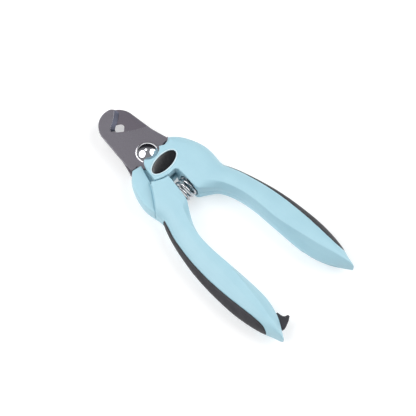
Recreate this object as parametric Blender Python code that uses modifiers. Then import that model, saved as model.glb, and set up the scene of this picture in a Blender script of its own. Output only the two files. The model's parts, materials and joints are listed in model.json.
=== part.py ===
"""Scissor nail clipper for pets: two crossed blades on one pivot, each with a two-shell handle.

The frame is in metres with +Z up. The origin is on the pivot's axis, in the plane that the clipper lies on.
+Y points to the blade tips and +X to the right handle, seen from above. Outlines are written in millimetres.
Both halves are drawn in one way up, as the right half, whose badge lobe is on top. The left half is the same
shape turned over about the long axis, so its lobe is underneath.
"""

import math

import bmesh
import bpy
from mathutils import Matrix, Vector

MM = 0.001

# Driving dimensions, in millimetres.
THICKNESS = 16.0
MIDDLE = THICKNESS / 2
BLADE_THICKNESS = 2.0
BLADE_LOW = MIDDLE + 0.15
BLADE_HIGH = BLADE_LOW + BLADE_THICKNESS
FIT = 0.1
SLIDE_GAP = 0.3
LOBE_LOW = BLADE_HIGH + SLIDE_GAP
TIER_DEPTH = 3.3
LOBE_RADIUS = 18.9
WELL_RADIUS = 19.5
HUB_RADIUS = 9.6
HUB_GAP = 0.4
TIP_CENTRE_Y = 22.9
TIP_RADIUS = 10.7
BLADE_LEAN = 2.0
BOLT_RADIUS = 2.4
SLEEVE_RADIUS = 3.4
CAP_RADIUS = 5.9
CAP_HEIGHT = 3.4
CAP_GAP = 0.65
WASHER_RADIUS = 6.2
WASHER_THICKNESS = 0.5
SPRING_Y = -28.6
SPRING_LEVEL = 7.5
SPRING_RADIUS = 5.35
WIRE_RADIUS = 0.6
SPRING_TURNS = 7.5
SPRING_HALF_LENGTH = 8.1
POCKET_RADIUS = 6.35
POCKET_FLOOR = 9.2
CLOSING_ANGLE = 12.5
LATCH_PIVOT = (-24.8, -116.2)
PIN_RADIUS = 1.0
PIN_HALF_LENGTH = 3.2
LATCH_LOW = 5.65
LATCH_HIGH = 7.65
LATCH_ANGLE = 77.6
LATCH_REACH = 22.43
HOOK_INNER_RADIUS = 1.35
HOOK_OUTER_RADIUS = 2.9
CATCH_PIN = (22.3, -112.0)
TANG_PINS = {"front": (16.2, -37.0), "back": (19.2, -44.0)}
TANG_PIN_HALF_LENGTH = 4.6
BADGE_CENTRE = (0.5, -12.3)
BADGE_HALF_AXES = (8.6, 4.0)
BADGE_TURN = 2.3
BADGE_RECESS = 0.9
BADGE_THICKNESS = 0.7

# Stations along a handle: inner x, y, outer x, y, place of the ridge across the width, how much of the inner
# side is upright, height share, squareness of the outer side.
HEAD_STATIONS = [
    (7.5, -3.9, 14.3, -2.5, 0.12, 0.90, 0.86, 3.0),
    (6.0, -8.5, 18.6, -6.6, 0.12, 0.90, 0.98, 3.0),
    (4.5, -14.0, 22.0, -12.9, 0.16, 0.85, 1.0, 3.0),
]
# The two rows differ at the spring's slot, where the left handle is cut back further.
RIGHT_SLOT_STATIONS = [
    (2.8, -19.7, 24.0, -20.0, 0.28, 0.97, 1.0, 2.9),
    (2.6, -25.0, 24.1, -26.0, 0.30, 0.93, 1.0, 2.7),
    (2.1, -31.0, 23.2, -32.0, 0.30, 0.89, 1.0, 2.5),
    (2.3, -35.0, 23.5, -35.2, 0.29, 0.82, 1.0, 2.4),
    (5.0, -37.4, 24.6, -37.4, 0.26, 0.70, 1.0, 2.3),
]
LEFT_SLOT_STATIONS = [
    (3.4, -19.7, 24.0, -20.0, 0.26, 0.97, 1.0, 2.9),
    (4.1, -25.0, 24.1, -26.0, 0.24, 0.93, 1.0, 2.7),
    (5.1, -31.0, 23.2, -32.0, 0.23, 0.89, 1.0, 2.5),
    (6.1, -35.4, 23.5, -35.2, 0.22, 0.80, 1.0, 2.4),
    (7.6, -37.8, 24.6, -37.4, 0.22, 0.66, 1.0, 2.3),
]
HANDLE_STATIONS = [
    (10.3, -42.0, 26.5, -42.0, 0.18, 0.48, 1.0, 2.1),
    (12.6, -46.0, 27.9, -46.0, 0.14, 0.40, 1.0, 1.9),
    (14.3, -50.0, 29.1, -50.0, 0.11, 0.34, 1.0, 1.8),
    (15.8, -56.0, 30.6, -56.0, 0.09, 0.30, 1.0, 1.75),
    (16.4, -65.0, 32.5, -65.0, 0.09, 0.28, 1.0, 1.7),
    (15.9, -77.0, 33.9, -77.0, 0.12, 0.26, 1.0, 1.7),
    (15.7, -92.0, 34.4, -92.0, 0.25, 0.24, 1.0, 1.7),
    (16.5, -103.0, 33.5, -103.0, 0.34, 0.24, 0.99, 1.7),
    (19.3, -112.0, 31.6, -112.0, 0.42, 0.24, 0.92, 1.75),
    (22.9, -118.0, 29.3, -118.0, 0.45, 0.24, 0.78, 1.8),
    (25.2, -121.4, 28.1, -121.4, 0.50, 0.24, 0.60, 1.9),
    (26.5, -123.3, 27.3, -123.3, 0.50, 0.24, 0.32, 2.0),
]
CROWN = 1.05
# Where the soft grip meets the hard shell, from the neck to the handle's end.
GRIP_LINE = [
    (22.2, -34.4),
    (24.4, -40.5),
    (26.3, -46.0),
    (28.8, -58.0),
    (30.2, -70.0),
    (30.6, -82.0),
    (30.2, -94.0),
    (29.5, -106.0),
    (29.7, -112.0),
    (31.4, -116.5),
]
# The step between the main surface and the low tier beside the pivot, from the front to the neck.
CREASE = [(8.3, -3.4), (12.0, -14.2), (17.3, -22.5), (24.7, -31.5)]
# The upper blade's notch: its cutting edge at the sliding face, and where its ground bevel meets the top face.
# Each runs from the hook's tip round the notch's bottom to the kink in the blade's side.
NOTCH_EDGE = [
    (6.1, 28.9),
    (2.1, 25.7),
    (-0.9, 24.0),
    (-2.4, 22.9),
    (-2.8, 21.5),
    (-2.1, 20.5),
    (-0.3, 18.9),
    (4.9, 15.1),
    (11.0, 12.0),
]
NOTCH_TOP = [
    (5.1, 31.4),
    (1.4, 28.1),
    (-2.4, 25.7),
    (-4.8, 23.9),
    (-5.2, 22.5),
    (-4.1, 21.1),
    (-0.6, 18.2),
    (4.9, 14.4),
    (11.0, 11.4),
]
TANG = [
    (14.4, -1.0),
    (14.8, -5.0),
    (15.6, -14.0),
    (17.0, -26.0),
    (21.5, -41.0),
    (22.0, -47.0),
    (19.0, -48.5),
    (16.2, -44.0),
    (11.0, -36.0),
    (10.6, -20.0),
    (3.3, -8.5),
]

PLASTIC = ("blue_shell", (0.50, 0.76, 0.86, 1), 0.45, 0.0)
RUBBER = ("soft_grip", (0.035, 0.034, 0.040, 1), 0.75, 0.0)
STEEL = ("blade_steel", (0.20, 0.19, 0.21, 1), 0.38, 0.9)
CHROME = ("chrome", (0.80, 0.80, 0.82, 1), 0.12, 1.0)
SPRING_STEEL = ("spring_steel", (0.62, 0.61, 0.62, 1), 0.25, 1.0)
STEEL_PIN = ("pin_steel", (0.55, 0.55, 0.56, 1), 0.3, 1.0)
LATCH_PLASTIC = ("latch_plastic", (0.04, 0.04, 0.045, 1), 0.5, 0.0)
BADGE_FACE = ("badge_face", (0.01, 0.01, 0.012, 1), 0.2, 0.0)


def material(finish):
    """The Principled material of a finish, made once."""
    name, colour, roughness, metallic = finish
    found = bpy.data.materials.get(name)
    if found:
        return found
    made = bpy.data.materials.new(name)
    made.use_nodes = True
    shader = made.node_tree.nodes["Principled BSDF"]
    shader.inputs["Base Color"].default_value = colour
    shader.inputs["Roughness"].default_value = roughness
    shader.inputs["Metallic"].default_value = metallic
    return made


def new_object(name, data):
    """An object in the clipper's collection."""
    obj = bpy.data.objects.new(name, data)
    PARTS.objects.link(obj)
    return obj


def from_bmesh(name, shape):
    mesh = bpy.data.meshes.new(name)
    shape.to_mesh(mesh)
    shape.free()
    return new_object(name, mesh)


def baked(obj):
    """A mesh object in place of obj, with its modifiers applied and its seams welded."""
    bpy.context.view_layer.update()
    graph = bpy.context.evaluated_depsgraph_get()
    mesh = bpy.data.meshes.new_from_object(obj.evaluated_get(graph))
    mesh.transform(obj.matrix_world)
    name = obj.name
    bpy.data.objects.remove(obj)
    shape = bmesh.new()
    shape.from_mesh(mesh)
    bmesh.ops.remove_doubles(shape, verts=shape.verts, dist=0.002 * MM)
    shape.to_mesh(mesh)
    shape.free()
    return new_object(name, mesh)


def boolean(obj, others, operation, solver="EXACT"):
    """obj after a Boolean with each of the others, which are used up."""
    for other in others:
        modifier = obj.modifiers.new(operation.lower(), "BOOLEAN")
        modifier.operation = operation
        modifier.solver = solver
        modifier.object = other
        obj = baked(obj)
        bpy.data.objects.remove(other)
    return obj


def cut(obj, *cutters, solver="EXACT"):
    return boolean(obj, cutters, "DIFFERENCE", solver)


def join(obj, *others):
    return boolean(obj, others, "UNION")


def common(obj, other):
    return boolean(obj, [other], "INTERSECT")


def copy_of(obj, name):
    return new_object(name, obj.data.copy())


def turned_over(obj):
    """obj turned half round about the clipper's long axis, from a right half to a left half."""
    middle = Matrix.Translation((0, 0, MIDDLE * MM))
    obj.data.transform(middle @ Matrix.Rotation(math.pi, 4, "Y") @ middle.inverted())
    return obj


def arc(centre, radius, start, end, steps):
    """Points on a circle, from one angle to the other in degrees."""
    angles = [math.radians(start + (end - start) * i / steps) for i in range(steps + 1)]
    return [(centre[0] + radius * math.cos(a), centre[1] + radius * math.sin(a)) for a in angles]


def smooth(rows, steps):
    """Rows of numbers with a Catmull-Rom curve's rows between them."""
    made = []
    for i in range(len(rows) - 1):
        before, start, end, after = (
            rows[max(i - 1, 0)],
            rows[i],
            rows[i + 1],
            rows[min(i + 2, len(rows) - 1)],
        )
        for step in range(steps):
            t = step / steps
            made.append(
                tuple(
                    0.5
                    * (
                        2 * b
                        + (c - a) * t
                        + (2 * a - 5 * b + 4 * c - d) * t * t
                        + (3 * b - a - 3 * c + d) * t**3
                    )
                    for a, b, c, d in zip(before, start, end, after)
                )
            )
    return made + [rows[-1]]


def grown(outline, margin):
    """The closed outline, moved outwards by the margin."""
    area = sum(a[0] * b[1] - b[0] * a[1] for a, b in zip(outline, outline[1:] + outline[:1]))
    side = 1 if area > 0 else -1
    made = []
    for i, here in enumerate(outline):
        back = Vector(outline[i - 1]) - Vector(here)
        ahead = Vector(outline[(i + 1) % len(outline)]) - Vector(here)
        normal = Vector((ahead.y, -ahead.x)).normalized() + Vector((-back.y, back.x)).normalized()
        normal.normalize()
        made.append((here[0] + side * margin * normal.x, here[1] + side * margin * normal.y))
    return made


def plate(name, outline, low, high):
    """A flat plate: a filled 2D curve with an extrusion, as a mesh."""
    curve = bpy.data.curves.new(name, "CURVE")
    curve.dimensions = "2D"
    curve.fill_mode = "BOTH"
    curve.extrude = (high - low) / 2 * MM
    spline = curve.splines.new("POLY")
    spline.points.add(len(outline) - 1)
    for point, (x, y) in zip(spline.points, outline):
        point.co = (x * MM, y * MM, 0, 1)
    spline.use_cyclic_u = True
    obj = new_object(name, curve)
    obj.location.z = (low + high) / 2 * MM
    return baked(obj)


def disc(name, centre, radius, low, high, sides=48, top_radius=None):
    """An upright cylinder or cone between two heights."""
    shape = bmesh.new()
    bmesh.ops.create_cone(
        shape,
        cap_ends=True,
        segments=sides,
        radius1=radius * MM,
        radius2=(radius if top_radius is None else top_radius) * MM,
        depth=(high - low) * MM,
        matrix=Matrix.Translation(Vector((*centre, (low + high) / 2)) * MM),
    )
    return from_bmesh(name, shape)


def section(station):
    """One closed section across a handle: an upright inner wall, a chamfer to the ridge and a round outer side."""
    inner_x, inner_y, outer_x, outer_y, ridge, wall, height, square = station
    flat = height * MIDDLE
    face = [(0, 0), (0.04 * ridge, wall * flat), (0.5 * ridge, (0.46 * wall + 0.54) * flat), (ridge, flat)]
    for share in (0.15, 0.3, 0.45, 0.6, 0.72, 0.82, 0.9, 0.96, 1):
        rise = (1 - share**square) ** (1 / square)
        face.append((ridge + share * (1 - ridge), min(CROWN * rise, 1) * flat))
    loop = face + [(u, -z) for u, z in reversed(face[1:-1])]
    return [
        Vector((inner_x + (outer_x - inner_x) * u, inner_y + (outer_y - inner_y) * u, MIDDLE + z)) * MM
        for u, z in loop
    ]


def handle_body(slot_stations):
    """A handle from its head to its end, as a loft of unlike sections."""
    shape = bmesh.new()
    rings = [
        [shape.verts.new(point) for point in section(station)]
        for station in smooth(HEAD_STATIONS + slot_stations + HANDLE_STATIONS, 3)
    ]
    for first, second in zip(rings, rings[1:]):
        for i in range(len(first)):
            j = (i + 1) % len(first)
            shape.faces.new((first[i], second[i], second[j], first[j]))
    shape.faces.new(rings[0])
    shape.faces.new(reversed(rings[-1]))
    bmesh.ops.recalc_face_normals(shape, faces=shape.faces)
    return from_bmesh("handle_body", shape)


def lobe():
    """The badge lobe, which reaches over the pivot's back and holds the blade down."""
    outline = [(13.0, -4.6), (11.0, -5.3), (8.6, -5.5)]
    outline += [(4.0, -3.0), (-5.0, -3.0)]
    outline += [(-7.4, -5.0), (-8.6, -8.0)]
    outline += arc((0, 0), LOBE_RADIUS, -123, -86, 9)
    outline += [(2.2, -19.3), (2.9, -20.6), (9.0, -21.0), (13.0, -11.0)]
    body = plate("lobe", outline, LOBE_LOW, THICKNESS)
    overhang = [(-6.9, -4.0), (-6.9, -5.9), (-8.0, -16.9), (-8.0, -20.0), (-14.0, -20.0), (-14.0, -4.0)]
    return cut(body, plate("overhang", overhang, LOBE_LOW - 1, THICKNESS - TIER_DEPTH + SLIDE_GAP))


def other_lobe_well():
    """Where the other half's lobe turns: open to the front, ended by the crease and a round wall."""
    wall_x, wall_y = CREASE[1]
    start = math.degrees(math.atan2(wall_y, wall_x))
    outline = [(CREASE[0][0], 14.0)] + CREASE[:2]
    outline += arc((0, 0), WELL_RADIUS, start, -150, 24)
    return plate("well", outline + [(-24.0, 14.0)], -1, THICKNESS - BLADE_HIGH)


def low_tier():
    """The part of the underside beyond the crease, which the other half's lobe slides over."""
    outline = [(CREASE[0][0], 14.0)] + smooth(CREASE, 4) + [(32, -30), (32, 14)]
    return plate("tier", outline, -1, TIER_DEPTH)


def lobe_front():
    """What the lobe's front edge leaves open between the cap and the handle's corner."""
    outline = [(3.0, 12.0), (3.0, -4.6), (8.6, -4.9), (11.0, -4.5), (12.8, -3.3), (12.8, 12.0)]
    return plate("front", outline, BLADE_HIGH + 0.15, THICKNESS + 1)


def spring_pocket(level):
    """A round pocket across the handle for one end of the spring, with its middle at the level."""
    shape = bmesh.new()
    bmesh.ops.create_cone(
        shape,
        cap_ends=True,
        segments=32,
        radius1=POCKET_RADIUS * MM,
        radius2=POCKET_RADIUS * MM,
        depth=2 * POCKET_FLOOR * MM,
        matrix=Matrix.Translation(Vector((0, SPRING_Y, level)) * MM) @ Matrix.Rotation(math.pi / 2, 4, "Y"),
    )
    return from_bmesh("pocket", shape)


def oval(name, margin, low, high):
    """The badge's oval, which lies along the lobe."""
    turn = math.radians(BADGE_TURN)
    steps = 48
    outline = []
    for x, y in arc((0, 0), 1, 0, 360 - 360 / steps, steps - 1):
        x *= BADGE_HALF_AXES[0] + margin
        y *= BADGE_HALF_AXES[1] + margin
        outline.append(
            (
                BADGE_CENTRE[0] + x * math.cos(turn) - y * math.sin(turn),
                BADGE_CENTRE[1] + x * math.sin(turn) + y * math.cos(turn),
            )
        )
    return plate(name, outline, low, high)


def badge(name):
    low = THICKNESS - BADGE_RECESS + FIT
    return oval(name, 0, low, low + BADGE_THICKNESS)


def whole_handle(slot_stations, spring_level):
    """A handle with its lobe and its pockets, before it is split into shells and grip."""
    hub_radius = HUB_RADIUS + HUB_GAP
    return cut(
        join(cut(handle_body(slot_stations), lobe_front()), lobe()),
        disc("hub_well", (0, 0), hub_radius, THICKNESS - LOBE_LOW, BLADE_HIGH + 0.2),
        other_lobe_well(),
        low_tier(),
        disc("cap_well", (0, 0), CAP_RADIUS + CAP_GAP, LOBE_LOW - 1, THICKNESS + 1),
        plate("tang_slot", grown(TANG, FIT), MIDDLE, BLADE_HIGH + FIT),
        spring_pocket(spring_level),
        oval("badge_seat", FIT, THICKNESS - BADGE_RECESS, THICKNESS + 1),
    )


def grip_region(margin):
    """Everything outside the line where the grip meets the shell."""
    line = [(x - margin, y) for x, y in smooth(GRIP_LINE, 3)]
    return plate("grip_region", line + [(42, -118), (42, -32)], -2, THICKNESS + 2)


def slab(low, high):
    return plate("slab", [(-50, -140), (50, -140), (50, 40), (-50, 40)], low, high)


def handle_pieces(side, slot_stations, spring_level):
    """The shell with the lobe, the cover and the soft grip of one handle, drawn as a right handle."""
    whole = whole_handle(slot_stations, spring_level)
    grip = common(copy_of(whole, side + "_grip"), grip_region(0))
    whole = cut(whole, grip_region(FIT))
    for x, y in TANG_PINS.values():
        whole = cut(whole, upright_pin("bore", (x, y), TANG_PIN_HALF_LENGTH + FIT, PIN_RADIUS + FIT))
    below = slab(-5, MIDDLE + FIT / 2)
    above = slab(MIDDLE - FIT / 2, THICKNESS + 5)
    shell = cut(copy_of(whole, side + "_handle_shell"), below, solver="MANIFOLD")
    cover = cut(whole, above, solver="MANIFOLD")
    cover.name = side + "_handle_cover"
    return {"shell": shell, "cover": cover, "grip": grip}


def upright_pin(name, centre, half_length, radius=PIN_RADIUS):
    return disc(name, centre, radius, MIDDLE - half_length, MIDDLE + half_length, 24)


def leaned(outline, angle):
    """An outline turned clockwise about the pivot."""
    turn = math.radians(angle)
    return [
        (x * math.cos(turn) + y * math.sin(turn), y * math.cos(turn) - x * math.sin(turn)) for x, y in outline
    ]


def blade(name, lean):
    """The upper blade: a tongue with a ground notch, a round hub and a tang."""
    tongue = [(-13.2, -1.9), (-12.9, 1.4), (-12.1, 10.6), (-11.1, 19.5)]
    tongue += arc((0, TIP_CENTRE_Y), TIP_RADIUS, 176, 72, 18)
    tongue += [(4.3, 32.3), (5.1, 31.3), (5.7, 30.2), (6.2, 28.7), (6.4, 14.3)]
    tongue += [(10.9, 11.7), (11.6, 8.4), (12.6, 4.2), (13.5, 0.8), (14.2, -1.8)]
    body = join(
        plate(name, leaned(tongue, lean), BLADE_LOW, BLADE_HIGH),
        disc("hub", (0, 0), HUB_RADIUS, BLADE_LOW, BLADE_HIGH),
        plate("tang", TANG, BLADE_LOW, BLADE_HIGH),
    )
    bores = [
        disc("bore", centre, PIN_RADIUS + FIT, BLADE_LOW - 1, BLADE_HIGH + 1, 24)
        for centre in TANG_PINS.values()
    ]
    pivot_bore = disc("bore", (0, 0), SLEEVE_RADIUS + FIT, BLADE_LOW - 1, BLADE_HIGH + 1)
    return cut(body, notch(lean), pivot_bore, *bores)


def notch(lean):
    """The notch's cutter: a loft between its two outlines, carried on past both faces of the blade."""
    beyond = [(20.0, 10.0), (20.0, 33.0)]
    edge, top = (leaned(smooth(outline, 2) + beyond, lean) for outline in (NOTCH_EDGE, NOTCH_TOP))
    over = 0.25
    shape = bmesh.new()
    rings = []
    for share in (-over, 1 + over):
        height = BLADE_LOW + share * BLADE_THICKNESS
        rings.append(
            [
                shape.verts.new(Vector((a[0] + (b[0] - a[0]) * share, a[1] + (b[1] - a[1]) * share, height)) * MM)
                for a, b in zip(edge, top)
            ]
        )
    for i in range(len(edge)):
        j = (i + 1) % len(edge)
        shape.faces.new((rings[0][i], rings[0][j], rings[1][j], rings[1][i]))
    for ring in rings:
        shape.faces.new(ring)
    bmesh.ops.triangulate(shape, faces=shape.faces)
    bmesh.ops.recalc_face_normals(shape, faces=shape.faces)
    return from_bmesh("notch", shape)


def turned(name, profile, steps=48):
    """A turned piece: a profile of radii and heights, run round the pivot's axis."""
    shape = bmesh.new()
    verts = [shape.verts.new((radius * MM, 0, height * MM)) for radius, height in profile]
    for first, second in zip(verts, verts[1:]):
        shape.edges.new((first, second))
    obj = from_bmesh(name, shape)
    modifier = obj.modifiers.new("turn", "SCREW")
    modifier.steps = steps
    modifier.render_steps = steps
    modifier.use_merge_vertices = True
    modifier.merge_threshold = 0.00001
    return baked(obj)


def pivot_pieces():
    """The domed bolt, the nut, the sleeve that both blades turn on, and a washer at each end."""
    washer_low = BLADE_HIGH + FIT
    cap_low = washer_low + WASHER_THICKNESS + FIT
    shank_low = 1.6
    rim = 0.5
    dome = [
        (CAP_RADIUS * math.cos(angle), cap_low + rim + (CAP_HEIGHT - rim) * math.sin(angle))
        for angle in [math.radians(90 - 10 * i) for i in range(10)]
    ]
    turned(
        "pivot_bolt",
        [(0, dome[0][1])]
        + dome[1:]
        + [(CAP_RADIUS, cap_low), (BOLT_RADIUS, cap_low), (BOLT_RADIUS, shank_low), (0, shank_low)],
    )
    nut_high = THICKNESS - cap_low
    bore = BOLT_RADIUS + FIT
    turned(
        "pivot_nut",
        [(0, shank_low - FIT), (bore, shank_low - FIT), (bore, nut_high), (CAP_RADIUS, nut_high)]
        + [(CAP_RADIUS, 0.6), (CAP_RADIUS - 0.6, 0), (0, 0)],
    )
    ring("pivot_sleeve", bore, SLEEVE_RADIUS, THICKNESS - BLADE_HIGH, BLADE_HIGH)
    ring("upper_washer", bore, WASHER_RADIUS, washer_low, washer_low + WASHER_THICKNESS)
    ring("lower_washer", bore, WASHER_RADIUS, THICKNESS - washer_low - WASHER_THICKNESS, THICKNESS - washer_low)


def ring(name, inner, outer, low, high):
    return cut(disc(name, (0, 0), outer, low, high), disc("hole", (0, 0), inner, low - 1, high + 1))


def spring():
    """The coil spring that opens the handles; it lies across the slot, along X."""
    turns_a_side = 16
    count = int(SPRING_TURNS * turns_a_side)
    curve = bpy.data.curves.new("spring", "CURVE")
    curve.dimensions = "3D"
    curve.bevel_depth = WIRE_RADIUS * MM
    curve.bevel_resolution = 2
    curve.use_fill_caps = True
    spline = curve.splines.new("POLY")
    spline.points.add(count)
    for i, point in enumerate(spline.points):
        angle = 2 * math.pi * i / turns_a_side
        along = -SPRING_HALF_LENGTH + 2 * SPRING_HALF_LENGTH * i / count
        across = SPRING_Y + SPRING_RADIUS * math.cos(angle)
        up = SPRING_LEVEL + SPRING_RADIUS * math.sin(angle)
        point.co = (along * MM, across * MM, up * MM, 1)
    return baked(new_object("spring", curve))


def along_latch(points, angle=LATCH_ANGLE):
    """Points given along and across the latch's arm, placed round its pivot."""
    turn = math.radians(angle)
    return [
        (
            LATCH_PIVOT[0] + u * math.cos(turn) - v * math.sin(turn),
            LATCH_PIVOT[1] + u * math.sin(turn) + v * math.cos(turn),
        )
        for u, v in points
    ]


def latch():
    """The swinging latch: a thumb tab, a hub and an arm with a hook, stowed along the left handle."""
    seat = (LATCH_REACH, 0)
    arm = [(0, -1.6), (LATCH_REACH - HOOK_INNER_RADIUS, -1.3)]
    arm += arc(seat, HOOK_INNER_RADIUS, 180, 0, 10)
    arm += [(LATCH_REACH + HOOK_INNER_RADIUS + 0.1, -1.0), (LATCH_REACH + HOOK_OUTER_RADIUS - 0.4, -1.0)]
    arm += arc(seat, HOOK_OUTER_RADIUS, 0, 115, 10)
    arm += [(LATCH_REACH - 4.5, 1.6), (0, 1.6)]
    tab = [(-23.0, -118.9), (-25.6, -117.2), (-24.6, -113.7), (-21.1, -111.2), (-18.5, -110.5)]
    tab += [(-17.7, -110.8), (-17.6, -112.8), (-17.2, -114.3), (-16.3, -115.1), (-15.4, -115.3)]
    tab += [(-14.8, -115.8), (-15.0, -116.7), (-16.6, -117.7), (-20.1, -119.0), (-21.9, -119.3)]
    body = join(
        plate("latch", along_latch(arm), LATCH_LOW, LATCH_HIGH),
        plate("tab", tab, LATCH_LOW, LATCH_HIGH),
        disc("hub", LATCH_PIVOT, 2.4, LATCH_LOW, LATCH_HIGH, 32),
    )
    return cut(body, disc("bore", LATCH_PIVOT, PIN_RADIUS + SLIDE_GAP, LATCH_LOW - 1, LATCH_HIGH + 1, 24))


def latch_slot():
    """The slot in the lower left shell that the latch swings in; the cover closes it from above."""
    outline = along_latch([(0, 2.9), (LATCH_REACH + 3.6, 3.4), (LATCH_REACH + 3.6, -3.0)])
    outline += [(-8.0, -86.0), (-8.0, -130.0), (-24.0, -130.0), (-25.2, -124.2), (-27.1, -121.4)]
    outline += [(-27.9, -119.4), (-27.7, -118.4)] + arc(LATCH_PIVOT, 2.9, -160, -190, 4)
    return plate("latch_slot", outline, LATCH_LOW - SLIDE_GAP, MIDDLE + 1)


def catch_slot():
    """The slot in the right handle's lower piece that the hook swings into when the handles are closed."""
    back = math.radians(CLOSING_ANGLE)
    x, y = LATCH_PIVOT
    centre = (x * math.cos(back) - y * math.sin(back), x * math.sin(back) + y * math.cos(back))
    reach = LATCH_REACH + HOOK_OUTER_RADIUS + 0.6
    outline = [centre] + arc(centre, reach, 7, 62, 14)
    return plate("catch_slot", outline, LATCH_LOW - SLIDE_GAP, MIDDLE + 1)


def finished(obj, finish):
    """Gives a piece its material, and smooth shading on its rounded stretches."""
    obj.data.materials.clear()
    obj.data.materials.append(material(finish))
    obj.data.shade_smooth()
    obj.data.set_sharp_from_angle(angle=math.radians(30))


def origin_at(obj, centre):
    """Moves an object's origin to an upright axis, with its shape left where it is."""
    place = Vector((*centre, 0)) * MM
    obj.data.transform(Matrix.Translation(-place))
    obj.location = place


def bore_for_pin(obj, centre):
    """A blind bore for a crosswise pin, through the pin's whole length."""
    return cut(obj, upright_pin("bore", centre, PIN_HALF_LENGTH + FIT, PIN_RADIUS + FIT))


def build():
    right = handle_pieces("right", RIGHT_SLOT_STATIONS, SPRING_LEVEL)
    drawn = handle_pieces("left", LEFT_SLOT_STATIONS, THICKNESS - SPRING_LEVEL)
    left = {name: turned_over(obj) for name, obj in drawn.items()}
    left["shell"] = cut(left["shell"], latch_slot(), solver="MANIFOLD")
    right["cover"] = cut(right["cover"], catch_slot(), solver="MANIFOLD")
    for name in ("shell", "cover"):
        left[name] = bore_for_pin(left[name], LATCH_PIVOT)
        right[name] = bore_for_pin(right[name], CATCH_PIN)

    blade("upper_blade", BLADE_LEAN)
    turned_over(blade("lower_blade", -BLADE_LEAN))
    badge("badge")
    turned_over(badge("lower_badge"))
    pivot_pieces()
    spring()
    upright_pin("latch_pin", LATCH_PIVOT, PIN_HALF_LENGTH)
    upright_pin("catch_pin", CATCH_PIN, PIN_HALF_LENGTH)
    for name, centre in TANG_PINS.items():
        upright_pin("right_tang_pin_" + name, centre, TANG_PIN_HALF_LENGTH)
        turned_over(upright_pin("left_tang_pin_" + name, centre, TANG_PIN_HALF_LENGTH))
    origin_at(latch(), LATCH_PIVOT)

    for obj in PARTS.objects:
        finished(obj, FINISHES.get(obj.name, STEEL_PIN))


FINISHES = {
    "upper_blade": STEEL,
    "lower_blade": STEEL,
    "right_handle_shell": PLASTIC,
    "right_handle_cover": PLASTIC,
    "left_handle_shell": PLASTIC,
    "left_handle_cover": PLASTIC,
    "right_grip": RUBBER,
    "left_grip": RUBBER,
    "pivot_bolt": CHROME,
    "pivot_nut": CHROME,
    "upper_washer": CHROME,
    "lower_washer": CHROME,
    "spring": SPRING_STEEL,
    "latch": LATCH_PLASTIC,
    "badge": BADGE_FACE,
    "lower_badge": BADGE_FACE,
}

for leftover in list(bpy.data.objects):
    bpy.data.objects.remove(leftover)
PARTS = bpy.data.collections.new("scissor_nail_clipper")
bpy.context.scene.collection.children.link(PARTS)
build()
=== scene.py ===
"""The looks of the scissor nail clipper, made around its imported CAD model.

Lengths are in millimetres and are turned into metres with MM. The clipper lies on the floor with its blades
towards +Y, its right handle towards +X and its upper side towards +Z.
"""

import json
import math

import bmesh
import bpy
import numpy as np
from mathutils import Matrix, Vector


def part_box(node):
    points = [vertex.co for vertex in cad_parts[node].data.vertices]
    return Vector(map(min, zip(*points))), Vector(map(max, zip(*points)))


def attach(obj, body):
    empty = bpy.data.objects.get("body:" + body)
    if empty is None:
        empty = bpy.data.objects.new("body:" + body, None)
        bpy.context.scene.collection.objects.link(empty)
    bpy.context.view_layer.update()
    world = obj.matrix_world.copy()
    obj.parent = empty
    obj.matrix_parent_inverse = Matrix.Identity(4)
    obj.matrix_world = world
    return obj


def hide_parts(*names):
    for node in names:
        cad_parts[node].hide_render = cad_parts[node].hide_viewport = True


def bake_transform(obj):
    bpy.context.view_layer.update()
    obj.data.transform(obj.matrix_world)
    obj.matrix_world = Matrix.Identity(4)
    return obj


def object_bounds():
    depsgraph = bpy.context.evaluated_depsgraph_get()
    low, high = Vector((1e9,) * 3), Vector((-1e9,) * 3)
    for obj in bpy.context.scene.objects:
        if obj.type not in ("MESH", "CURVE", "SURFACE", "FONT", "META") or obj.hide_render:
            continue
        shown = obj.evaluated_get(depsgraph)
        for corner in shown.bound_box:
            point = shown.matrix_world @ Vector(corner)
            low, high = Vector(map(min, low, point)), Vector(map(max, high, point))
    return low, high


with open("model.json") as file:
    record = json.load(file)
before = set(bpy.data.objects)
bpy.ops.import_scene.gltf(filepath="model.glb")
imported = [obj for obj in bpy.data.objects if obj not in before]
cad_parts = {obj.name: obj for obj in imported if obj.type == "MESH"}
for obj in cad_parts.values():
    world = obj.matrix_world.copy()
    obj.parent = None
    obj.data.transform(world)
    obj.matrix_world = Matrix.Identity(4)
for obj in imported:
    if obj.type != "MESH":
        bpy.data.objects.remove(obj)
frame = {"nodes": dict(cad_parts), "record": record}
CAD_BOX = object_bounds()

MM = 0.001

# The camera, as a place, the point it looks at and the plan direction that is upwards in the picture.
CAMERA_PLACE = Vector((-0.21033, -0.24443, 0.69038))
CAMERA_AIM = Vector((0.00224, -0.04271, 0.0))
CAMERA_UP = Vector((0.72537, 0.68835, 0.0))
LENS = 121.4
SENSOR = 36.0

# How finely a moulded piece is remeshed, in millimetres, and how many smoothing passes round its edges.
SHELL_VOXEL = 0.28
SHELL_PASSES = 4
GRIP_VOXEL = 0.30
GRIP_PASSES = 12
LATCH_VOXEL = 0.12
LATCH_PASSES = 6
# The groove at the foot of the step beside the pivot, drawn for the right handle.
GROOVE_LINE = [(12.4, -13.9), (14.8, -18.2), (17.7, -22.2), (21.7, -27.2), (25.1, -31.2)]
GROOVE_HALF_WIDTH = 0.5
GROOVE_DEPTH = 0.45
BLADE_EDGE = 0.15
# Ground bevels short of the notch's bottom get a painted highlight, those past it a painted shade.
NOTCH_BOTTOM = 22.6
# How far forward the ground faces start, and the tilts between which a face is a bevel or a broken edge.
GROUND_START = 9
STEEPEST_BEVEL, FLATTEST_BEVEL, FLATTEST_EDGE = 0.15, 0.84, 0.985

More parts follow.
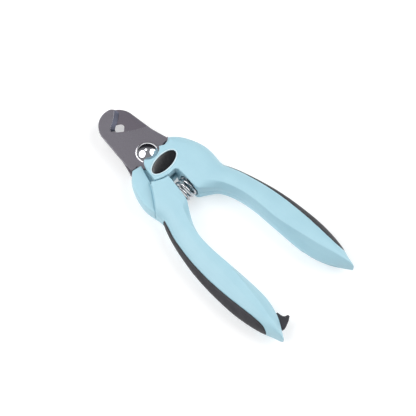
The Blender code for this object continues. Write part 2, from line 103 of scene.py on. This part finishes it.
# The bolt's head is part of a ball with a rounded edge.
DOME_BALL = 7.8
DOME_EDGE = 0.15
DOME_STEPS = 24
HEAD_GAP = 0.1
SHANK_RADIUS = 2.4
SHANK_CHAMFER = 0.2

SPRING_TURNS = 7.5
SPRING_STEPS = 28
SPRING_CLOSED_SHARE = 0.11
WIRE_RADIUS = 0.55
OVAL_SIDES = 72
BADGE_TURN = 2.3
BADGE_CROWN = 0.05
BADGE_RIM_WIDTH = 0.75
BADGE_RIM_HEIGHT = 0.4
BADGE_RIM_LIFT = 0.2
BADGE_RIM_STEPS = 10
# A badge's crowned face from its foot to its middle: shares of its half axes and of its rise.
BADGE_PROFILE = [(1.0, 0.0), (1.0, 0.8), (0.985, 0.92), (0.95, 0.96), (0.8, 0.975), (0.5, 0.99), (0.2, 1.0)]

FLOOR_HALF_SIDE = 3.0
FLOOR_DROP = 0.05
FLOOR_GLOW = 0.45
# Each lamp's name, direction, distance and size in metres, and power in watts.
SOFTBOXES = [
    ("left_softbox", (-0.52, 0.42, 0.75), 1.3, 1.3, 12.5),
    ("right_softbox", (0.59, -0.43, 0.68), 1.3, 1.3, 12.5),
    ("far_lamp", (0.18, 0.42, 0.89), 1.5, 0.4, 1.5),
]
# The room's colour goes from the near to the far one along this direction, between these two shares.
ROOM_DIRECTION = (0.69, 0.66, -0.30)
ROOM_NEAR, ROOM_NEAR_SHARE = (0.52, 0.53, 0.55, 1), 0.25
ROOM_FAR, ROOM_FAR_SHARE = (0.04, 0.04, 0.05, 1), 0.62
ROOM_STRENGTH = 0.5


def linear(red, green, blue):
    """A linear colour from sRGB values of 0 to 255."""
    values = [v / 255 for v in (red, green, blue)]
    return tuple(v / 12.92 if v <= 0.04045 else ((v + 0.055) / 1.055) ** 2.4 for v in values) + (1.0,)


# ---- materials ----


def new_material(name, colour, roughness, metallic=0.0, **sockets):
    """A Principled material. Keyword names are socket names with underscores for spaces."""
    made = bpy.data.materials.new(name)
    made.use_nodes = True
    shader = made.node_tree.nodes["Principled BSDF"]
    shader.inputs["Base Color"].default_value = colour
    shader.inputs["Roughness"].default_value = roughness
    shader.inputs["Metallic"].default_value = metallic
    for socket, value in sockets.items():
        shader.inputs[socket.replace("_", " ")].default_value = value
    return made


def add_node(made, kind, **values):
    node = made.node_tree.nodes.new(kind)
    for name, value in values.items():
        setattr(node, name, value)
    return node


def link(made, source, target):
    made.node_tree.links.new(source, target)


def noise(made, scale, detail=3.0, stretch=(1, 1, 1)):
    """Noise over the object's own coordinates, with scale in cells a metre."""
    place = add_node(made, "ShaderNodeTexCoord")
    mapping = add_node(made, "ShaderNodeMapping")
    mapping.inputs["Scale"].default_value = stretch
    texture = add_node(made, "ShaderNodeTexNoise")
    texture.inputs["Scale"].default_value = scale
    texture.inputs["Detail"].default_value = detail
    link(made, place.outputs["Object"], mapping.inputs["Vector"])
    link(made, mapping.outputs["Vector"], texture.inputs["Vector"])
    return texture.outputs["Fac"]


def spread(made, factor, low, high):
    """The factor's middle range, mapped to low and high."""
    ranged = add_node(made, "ShaderNodeMapRange")
    ranged.inputs["From Min"].default_value = 0.3
    ranged.inputs["From Max"].default_value = 0.7
    ranged.inputs["To Min"].default_value = low
    ranged.inputs["To Max"].default_value = high
    link(made, factor, ranged.inputs["Value"])
    return ranged.outputs["Result"]


def vary_roughness(made, factor, low, high):
    shader = made.node_tree.nodes["Principled BSDF"]
    link(made, spread(made, factor, low, high), shader.inputs["Roughness"])


def vary_colour(made, factor, first, second):
    shader = made.node_tree.nodes["Principled BSDF"]
    mix = add_node(made, "ShaderNodeMix", data_type="RGBA")
    mix.inputs["A"].default_value = first
    mix.inputs["B"].default_value = second
    link(made, spread(made, factor, 0.0, 1.0), mix.inputs["Factor"])
    link(made, mix.outputs["Result"], shader.inputs["Base Color"])


def bumped(made, factor, height, strength=1.0):
    """Adds a bump of the given height in millimetres."""
    shader = made.node_tree.nodes["Principled BSDF"]
    bump = add_node(made, "ShaderNodeBump")
    bump.inputs["Strength"].default_value = strength
    bump.inputs["Distance"].default_value = height * MM
    link(made, factor, bump.inputs["Height"])
    link(made, bump.outputs["Normal"], shader.inputs["Normal"])


def plastic(name, first, second, roughness):
    """Moulded plastic: a fine spark-eroded grain, and slow changes of tone and gloss."""
    made = new_material(name, first, roughness, Specular_IOR_Level=0.45)
    vary_colour(made, noise(made, 90), first, second)
    vary_roughness(made, noise(made, 700, 5), roughness - 0.05, roughness + 0.05)
    bumped(made, noise(made, 2600, 2), 0.02, 0.35)
    return made


def rubber():
    """Soft grip: dull, with a fine matt grain."""
    dark, light = linear(44, 43, 47), linear(58, 57, 61)
    made = new_material("soft_grip_rubber", dark, 0.62, Specular_IOR_Level=0.5)
    vary_colour(made, noise(made, 240, 4), dark, light)
    vary_roughness(made, noise(made, 900, 4), 0.50, 0.68)
    bumped(made, noise(made, 3200, 2), 0.03, 0.5)
    return made


def brushed_steel(name, first, second, roughness, stretch=(1, 14, 1)):
    """Steel ground in long strokes, with fine scratches along them."""
    made = new_material(name, first, roughness, metallic=1.0)
    strokes = noise(made, 900, 4, stretch)
    vary_colour(made, strokes, first, second)
    vary_roughness(made, noise(made, 1500, 3, stretch), roughness - 0.06, roughness + 0.08)
    bumped(made, strokes, 0.01, 0.25)
    return made


def polished(name, colour, roughness):
    """Plated or polished metal with faint wipe marks."""
    made = new_material(name, colour, roughness, metallic=1.0)
    vary_roughness(made, noise(made, 500, 5), max(roughness - 0.03, 0.02), roughness + 0.04)
    return made


BLUE = plastic("blue_plastic", linear(167, 206, 219), linear(172, 210, 222), 0.40)
# The badge's rim: the blue plastic made pale, a painted highlight along the edge of the badge's recess.
PAINTED_HIGHLIGHT_RIM = plastic("badge_rim_painted_highlight", linear(214, 238, 246), linear(218, 240, 247), 0.30)
RUBBER = rubber()
STEEL = brushed_steel("blade_steel", linear(114, 111, 118), linear(130, 127, 134), 0.42)
# The lower blade: the blade steel made darker, a painted shade where it lies beneath the upper blade.
SHADED_LOWER_STEEL = brushed_steel("lower_blade_painted_shade_steel", linear(104, 99, 107), linear(118, 113, 121), 0.42)
# Ground bevels: a darker copy of the steel, a painted shade for bevels turned from the lamps.
SHADED_BEVEL_STEEL = brushed_steel("bevel_steel_painted_shade", linear(72, 74, 86), linear(92, 94, 106), 0.34, (9, 1, 1))
# Broken edges: bright steel, a painted highlight where the edges catch the lamps.
HIGHLIGHT_EDGE_STEEL = polished("blade_edge_painted_highlight", linear(214, 214, 218), 0.30)
# Ground bevels low in the notch: a light copy of the bevel steel, a painted highlight where they face the
# lamps.
LIT_BEVEL_STEEL = brushed_steel(
    "bevel_steel_painted_highlight", linear(196, 194, 200), linear(216, 214, 219), 0.30, (9, 1, 1)
)
CHROME = polished("chrome", linear(228, 228, 232), 0.06)
WIRE = polished("spring_wire", linear(205, 203, 206), 0.16)
PIN = brushed_steel("pin_steel", linear(170, 170, 174), linear(190, 190, 194), 0.30, (1, 1, 14))
LATCH = plastic("latch_plastic", linear(44, 44, 50), linear(54, 54, 60), 0.45)
BADGE = new_material("badge_gloss", linear(20, 20, 23), 0.10)
vary_roughness(BADGE, noise(BADGE, 600, 4), 0.09, 0.12)


# ---- mesh helpers ----


def new_piece(name, mesh, material, body, slot, *nodes):
    """A piece of the model, with the body that it rides on, if one, and the nodes it stands for."""
    piece = bpy.data.objects.new(name, mesh)
    bpy.context.scene.collection.objects.link(piece)
    mesh.materials.clear()
    mesh.materials.append(material)
    if body:
        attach(piece, body)
    if nodes:
        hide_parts(*nodes)
    return piece


def applied(piece):
    """Applies every modifier of a piece."""
    bpy.context.view_layer.update()
    graph = bpy.context.evaluated_depsgraph_get()
    mesh = bpy.data.meshes.new_from_object(piece.evaluated_get(graph))
    piece.modifiers.clear()
    piece.data = mesh
    return piece


def welded_copy(node):
    """A node's mesh with the corners that its normals had split joined again."""
    mesh = frame["nodes"][node].data.copy()
    shape = bmesh.new()
    shape.from_mesh(mesh)
    bmesh.ops.remove_doubles(shape, verts=shape.verts, dist=0.002 * MM)
    shape.to_mesh(mesh)
    shape.free()
    return mesh


def body_of(node):
    return next(body for body, nodes in frame["record"]["behaviour"]["bodies"].items() if node in nodes)


def moulded(name, node, material, slot, voxel, passes):
    """A fine surface for a moulded node, with the soft edges that a mould leaves."""
    piece = new_piece(name, welded_copy(node), material, body_of(node), slot, node)
    remesh = piece.modifiers.new("remesh", "REMESH")
    remesh.mode = "VOXEL"
    remesh.voxel_size = voxel * MM
    soften = piece.modifiers.new("soften", "SMOOTH")
    soften.factor = 0.5
    soften.iterations = passes
    applied(piece)
    piece.data.shade_smooth()
    piece.data.materials.clear()
    piece.data.materials.append(material)
    return piece


def bevelled(name, node, material, slot, width):
    """A node with crisp faces, its edges broken by a small bevel."""
    piece = new_piece(name, welded_copy(node), material, body_of(node), slot, node)
    flat = piece.modifiers.new("flat", "DECIMATE")
    flat.decimate_type = "DISSOLVE"
    flat.angle_limit = math.radians(0.5)
    edge = piece.modifiers.new("edge", "BEVEL")
    edge.width = width * MM
    edge.segments = 2
    edge.limit_method = "ANGLE"
    edge.angle_limit = math.radians(32)
    applied(piece)
    piece.data.shade_smooth()
    piece.data.set_sharp_from_angle(angle=math.radians(12))
    return piece


def outward_mesh(name, shape, sharp=None):
    """A bmesh's mesh, its faces turned outwards and shaded smooth, but crisp past sharp degrees, if given."""
    bmesh.ops.recalc_face_normals(shape, faces=shape.faces)
    mesh = bpy.data.meshes.new(name)
    shape.to_mesh(mesh)
    shape.free()
    mesh.shade_smooth()
    if sharp:
        mesh.set_sharp_from_angle(angle=math.radians(sharp))
    return mesh


def order_by_place(elements, place):
    """Orders a bmesh's points or faces by where they lie, because merging leaves an order that varies."""
    in_order = sorted(elements, key=lambda element: tuple(place(element)))
    rank = {element: i for i, element in enumerate(in_order)}
    elements.sort(key=lambda element: rank[element])


def turned_mesh(name, profile, sides=96):
    """A turned mesh from a profile of radii and heights in millimetres."""
    shape = bmesh.new()
    verts = [shape.verts.new((radius * MM, 0, height * MM)) for radius, height in profile]
    edges = [shape.edges.new(pair) for pair in zip(verts, verts[1:])]
    bmesh.ops.spin(
        shape, geom=verts + edges, cent=(0, 0, 0), axis=(0, 0, 1), angle=2 * math.pi, steps=sides
    )
    bmesh.ops.remove_doubles(shape, verts=shape.verts, dist=0.001 * MM)
    order_by_place(shape.verts, lambda vert: vert.co)
    order_by_place(shape.faces, lambda face: face.calc_center_median())
    return outward_mesh(name, shape, 50)


def box_mm(node):
    """A node's lowest and highest corners in millimetres."""
    return [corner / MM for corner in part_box(node)]


# ---- pieces ----


def grooved(piece, outwards, facing):
    """Presses the groove into a handle's cover; outwards and facing are its outer side's and face's signs."""
    vertices = piece.data.vertices
    places, normals = np.empty(3 * len(vertices)), np.empty(3 * len(vertices))
    vertices.foreach_get("co", places)
    vertices.foreach_get("normal", normals)
    places, normals = places.reshape(-1, 3), normals.reshape(-1, 3)
    nearest = np.full(len(places), np.inf)
    line = [np.array((outwards * x, y)) * MM for x, y in GROOVE_LINE]
    for start, end in zip(line, line[1:]):
        along = end - start
        offset = places[:, :2] - start
        share = np.clip(offset @ along / (along @ along), 0, 1)
        nearest = np.minimum(nearest, np.linalg.norm(offset - share[:, None] * along, axis=1))
    depth = GROOVE_DEPTH * MM * np.clip(1 - (nearest / (GROOVE_HALF_WIDTH * MM)) ** 2, 0, 1)
    depth[normals[:, 2] * facing < 0.1] = 0
    vertices.foreach_set("co", (places - normals * depth[:, None]).ravel())
    piece.data.update()


def handles():
    for side, outwards in (("right", 1), ("left", -1)):
        for part in ("handle_shell", "handle_cover"):
            node = f"{side}_{part}"
            skin = moulded(node + "_skin", node, BLUE, "blue_shell", SHELL_VOXEL, SHELL_PASSES)
            if part == "handle_cover":
                grooved(skin, outwards, -outwards)
        moulded(f"{side}_grip_skin", f"{side}_grip", RUBBER, "soft_grip", GRIP_VOXEL, GRIP_PASSES)
    moulded("latch_skin", "latch", LATCH, "latch_plastic", LATCH_VOXEL, LATCH_PASSES)


def ground_faces(piece):
    """Paints light on the faces round the notch: the ground bevels get a painted shade, those short of the
    notch's bottom a painted highlight, and the broken edges a painted highlight.
    """
    piece.data.materials.append(SHADED_BEVEL_STEEL)
    piece.data.materials.append(HIGHLIGHT_EDGE_STEEL)
    piece.data.materials.append(LIT_BEVEL_STEEL)
    for face in piece.data.polygons:
        if face.center.y < GROUND_START * MM:
            continue
        upright = abs(face.normal.z)
        if FLATTEST_BEVEL < upright < FLATTEST_EDGE:
            face.material_index = 2
        elif STEEPEST_BEVEL < upright <= FLATTEST_BEVEL:
            face.material_index = 3 if face.center.y < NOTCH_BOTTOM * MM else 1


def blades():
    for node, finish in (("upper_blade", STEEL), ("lower_blade", SHADED_LOWER_STEEL)):
        ground_faces(bevelled(node + "_ground", node, finish, "blade_steel", BLADE_EDGE))


def dome_profile(radius, low, high):
    """The bolt's head, from its middle outwards: part of a ball down to a rounded edge."""
    ball = DOME_BALL
    slant = math.asin((radius - DOME_EDGE) / ball)
    angles = [slant * i / DOME_STEPS for i in range(DOME_STEPS + 1)]
    profile = [(ball * math.sin(angle), high - ball + ball * math.cos(angle)) for angle in angles]
    corner_height = profile[-1][1]
    return profile + [(radius - 0.04, corner_height - 0.12), (radius, corner_height - 0.3), (radius, low)]


def bolt():
    low, high = box_mm("pivot_bolt")
    washer_high = box_mm("upper_washer")[1].z
    radius = (high.x - low.x) / 2
    head_low = washer_high + HEAD_GAP
    profile = dome_profile(radius, head_low, high.z)
    profile += [(SHANK_RADIUS, head_low), (SHANK_RADIUS, low.z + SHANK_CHAMFER)]
    profile += [(SHANK_RADIUS - SHANK_CHAMFER, low.z), (0, low.z)]
    mesh = turned_mesh("bolt", profile)
    new_piece("pivot_bolt_polished", mesh, CHROME, "left_half", "chrome", "pivot_bolt")


def spring_mesh(low, high, turns, wire):
    """A coil between two corners: a helix along X whose end turns lie closed against each other."""
    count = int(turns * SPRING_STEPS)
    coil_radius = (high.z - low.z) / 2 - wire
    middle = (low + high) / 2
    closed_share = SPRING_CLOSED_SHARE
    curve = bpy.data.curves.new("spring_path", "CURVE")
    curve.dimensions = "3D"
    curve.bevel_depth = wire * MM
    curve.bevel_resolution = 5
    curve.use_fill_caps = True
    spline = curve.splines.new("POLY")
    spline.points.add(count)
    half = (high.x - low.x) / 2 - wire
    closed_travel = 2 * wire / (2 * half)
    for i, point in enumerate(spline.points):
        t = i / count
        if t < closed_share:
            along = closed_travel * t / closed_share
        elif t > 1 - closed_share:
            along = 1 - closed_travel * (1 - t) / closed_share
        else:
            along = closed_travel + (1 - 2 * closed_travel) * (t - closed_share) / (1 - 2 * closed_share)
        angle = 2 * math.pi * i / SPRING_STEPS
        point.co = (
            (middle.x - half + 2 * half * along) * MM,
            (middle.y + coil_radius * math.cos(angle)) * MM,
            (middle.z + coil_radius * math.sin(angle)) * MM,
            1,
        )
    path = bpy.data.objects.new("spring_path", curve)
    bpy.context.scene.collection.objects.link(path)
    bpy.context.view_layer.update()
    mesh = bpy.data.meshes.new_from_object(path.evaluated_get(bpy.context.evaluated_depsgraph_get()))
    bpy.data.objects.remove(path)
    mesh.shade_smooth()
    return mesh


def spring():
    low, high = box_mm("spring")
    mesh = spring_mesh(low, high, SPRING_TURNS, WIRE_RADIUS)
    piece = new_piece("spring_coil", mesh, WIRE, None, "spring_steel", "spring")
    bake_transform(piece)


def oval_point(centre, turn, x, y, height):
    """The place in metres of a point x and y millimetres from an oval's centre, turned with the oval."""
    return (
        (centre[0] + x * math.cos(turn) - y * math.sin(turn)) * MM,
        (centre[1] + x * math.sin(turn) + y * math.cos(turn)) * MM,
        height * MM,
    )


def bridged(shape, first, second):
    """Faces between two rings of equally many points."""
    for i in range(len(first)):
        j = (i + 1) % len(first)
        shape.faces.new((first[i], first[j], second[j], second[i]))


def oval_dome(name, centre, half_axes, low, rise, facing, turn):
    """An oval plaque with a crowned face and a rounded edge; facing is +1 for up and -1 for down."""
    shape = bmesh.new()
    rings = []
    for share, up in BADGE_PROFILE:
        ring = []
        for i in range(OVAL_SIDES):
            angle = 2 * math.pi * i / OVAL_SIDES
            x, y = half_axes[0] * share * math.cos(angle), half_axes[1] * share * math.sin(angle)
            ring.append(shape.verts.new(oval_point(centre, turn, x, y, low + facing * rise * up)))
        rings.append(ring)
    for first, second in zip(rings, rings[1:]):
        bridged(shape, first, second)
    shape.faces.new(rings[0])
    shape.faces.new(rings[-1])
    return outward_mesh(name, shape, 60)


def oval_ring(name, centre, half_axes, width, base, height, turn):
    """A raised rim round an oval, with a round section."""
    shape = bmesh.new()
    rings = []
    for i in range(OVAL_SIDES):
        angle = 2 * math.pi * i / OVAL_SIDES
        ring = []
        for k in range(BADGE_RIM_STEPS):
            round_angle = 2 * math.pi * k / BADGE_RIM_STEPS
            out = width / 2 + width / 2 * math.cos(round_angle)
            up = height * math.sin(round_angle)
            x = (half_axes[0] + out) * math.cos(angle)
            y = (half_axes[1] + out) * math.sin(angle)
            ring.append(shape.verts.new(oval_point(centre, turn, x, y, base + up)))
        rings.append(ring)
    for first, second in zip(rings, rings[1:] + rings[:1]):
        bridged(shape, first, second)
    return outward_mesh(name, shape)


def badges():
    for node, body, facing in (("badge", "right_half", 1), ("lower_badge", "left_half", -1)):
        low, high = box_mm(node)
        centre = ((low.x + high.x) / 2, (low.y + high.y) / 2)
        half_axes = ((high.x - low.x) / 2, (high.y - low.y) / 2)
        base, top = (low.z, high.z) if facing > 0 else (high.z, low.z)
        turn = math.radians(BADGE_TURN) * facing
        face = oval_dome(node, centre, half_axes, base, abs(top - base) + BADGE_CROWN, facing, turn)
        new_piece(node + "_plaque", face, BADGE, body, "badge_face", node)
        if facing > 0:
            # The upper badge gets a pale rim, a painted highlight along its recess's edge.
            rim_base = top + BADGE_RIM_LIFT
            rim = oval_ring(node, centre, half_axes, BADGE_RIM_WIDTH, rim_base, BADGE_RIM_HEIGHT, turn)
            new_piece(node + "_rim", rim, PAINTED_HIGHLIGHT_RIM, body, "blue_shell")


def kept_nodes():
    """Finishes for the turned and hidden nodes whose CAD shape is right."""
    finishes = {"pivot_nut": CHROME, "upper_washer": CHROME, "lower_washer": CHROME}
    for name, node in frame["nodes"].items():
        if name.endswith("_pin") or "tang_pin" in name or name == "pivot_sleeve":
            finishes[name] = PIN
    for name, finish in finishes.items():
        node = frame["nodes"][name]
        node.data.materials.clear()
        node.data.materials.append(finish)


# ---- surroundings ----


def floor():
    """A white light table, whose glow thins the shadows."""
    mesh = bpy.data.meshes.new("floor")
    shape = bmesh.new()
    bmesh.ops.create_grid(shape, x_segments=2, y_segments=2, size=FLOOR_HALF_SIDE)
    shape.to_mesh(mesh)
    shape.free()
    white = new_material("floor_white", (0.65, 0.65, 0.65, 1), 0.9, Specular_IOR_Level=0.0)
    shader = white.node_tree.nodes["Principled BSDF"]
    shader.inputs["Emission Color"].default_value = (1, 1, 1, 1)
    shader.inputs["Emission Strength"].default_value = FLOOR_GLOW
    mesh.materials.append(white)
    obj = bpy.data.objects.new("floor", mesh)
    bpy.context.scene.collection.objects.link(obj)
    lowest = CAD_BOX[0][2]
    obj.location.z = lowest - FLOOR_DROP * MM


def aimed(obj, place, target=(0.0, -0.04, 0.0)):
    obj.location = place
    direction = Vector(target) - Vector(place)
    obj.rotation_euler = direction.to_track_quat("-Z", "Y").to_euler()


def softbox(name, direction, distance, size, power):
    lamp = bpy.data.lights.new(name, "AREA")
    lamp.shape = "DISK"
    lamp.size = size
    lamp.energy = power
    obj = bpy.data.objects.new(name, lamp)
    bpy.context.scene.collection.objects.link(obj)
    aimed(obj, Vector(direction).normalized() * distance)


def lights():
    """The lamps, in a room whose far side is dark in reflections but is seen as a pale backdrop."""
    for lamp in SOFTBOXES:
        softbox(*lamp)
    world = bpy.data.worlds.new("studio")
    bpy.context.scene.world = world
    world.use_nodes = True
    tree = world.node_tree
    background = tree.nodes["Background"]
    place = tree.nodes.new("ShaderNodeTexCoord")
    far = tree.nodes.new("ShaderNodeVectorMath")
    far.operation = "DOT_PRODUCT"
    far.inputs[1].default_value = ROOM_DIRECTION
    ramp = tree.nodes.new("ShaderNodeValToRGB")
    tree.links.new(place.outputs["Generated"], far.inputs[0])
    tree.links.new(far.outputs["Value"], ramp.inputs["Fac"])
    tree.links.new(ramp.outputs["Color"], background.inputs["Color"])
    near_end, far_end = ramp.color_ramp.elements
    near_end.position, near_end.color = ROOM_NEAR_SHARE, ROOM_NEAR
    far_end.position, far_end.color = ROOM_FAR_SHARE, ROOM_FAR
    background.inputs["Strength"].default_value = ROOM_STRENGTH
    pale = tree.nodes.new("ShaderNodeBackground")
    pale.inputs["Color"].default_value = (1, 1, 1, 1)
    seen = tree.nodes.new("ShaderNodeLightPath")
    choice = tree.nodes.new("ShaderNodeMixShader")
    tree.links.new(seen.outputs["Is Camera Ray"], choice.inputs["Fac"])
    tree.links.new(background.outputs["Background"], choice.inputs[1])
    tree.links.new(pale.outputs["Background"], choice.inputs[2])
    tree.links.new(choice.outputs["Shader"], tree.nodes["World Output"].inputs["Surface"])


def camera():
    data = bpy.data.cameras.new("camera")
    data.lens = LENS
    data.sensor_width = SENSOR
    data.clip_start = 0.01
    obj = bpy.data.objects.new("camera", data)
    bpy.context.scene.collection.objects.link(obj)
    back = (CAMERA_PLACE - CAMERA_AIM).normalized()
    up = (CAMERA_UP - back * CAMERA_UP.dot(back)).normalized()
    right = up.cross(back)
    turn = Matrix((right, up, back)).transposed().to_4x4()
    obj.matrix_world = Matrix.Translation(CAMERA_PLACE) @ turn
    bpy.context.scene.camera = obj


camera()
handles()
blades()
bolt()
spring()
badges()
kept_nodes()
floor()
lights()
bpy.context.scene.view_settings.view_transform = "Standard"
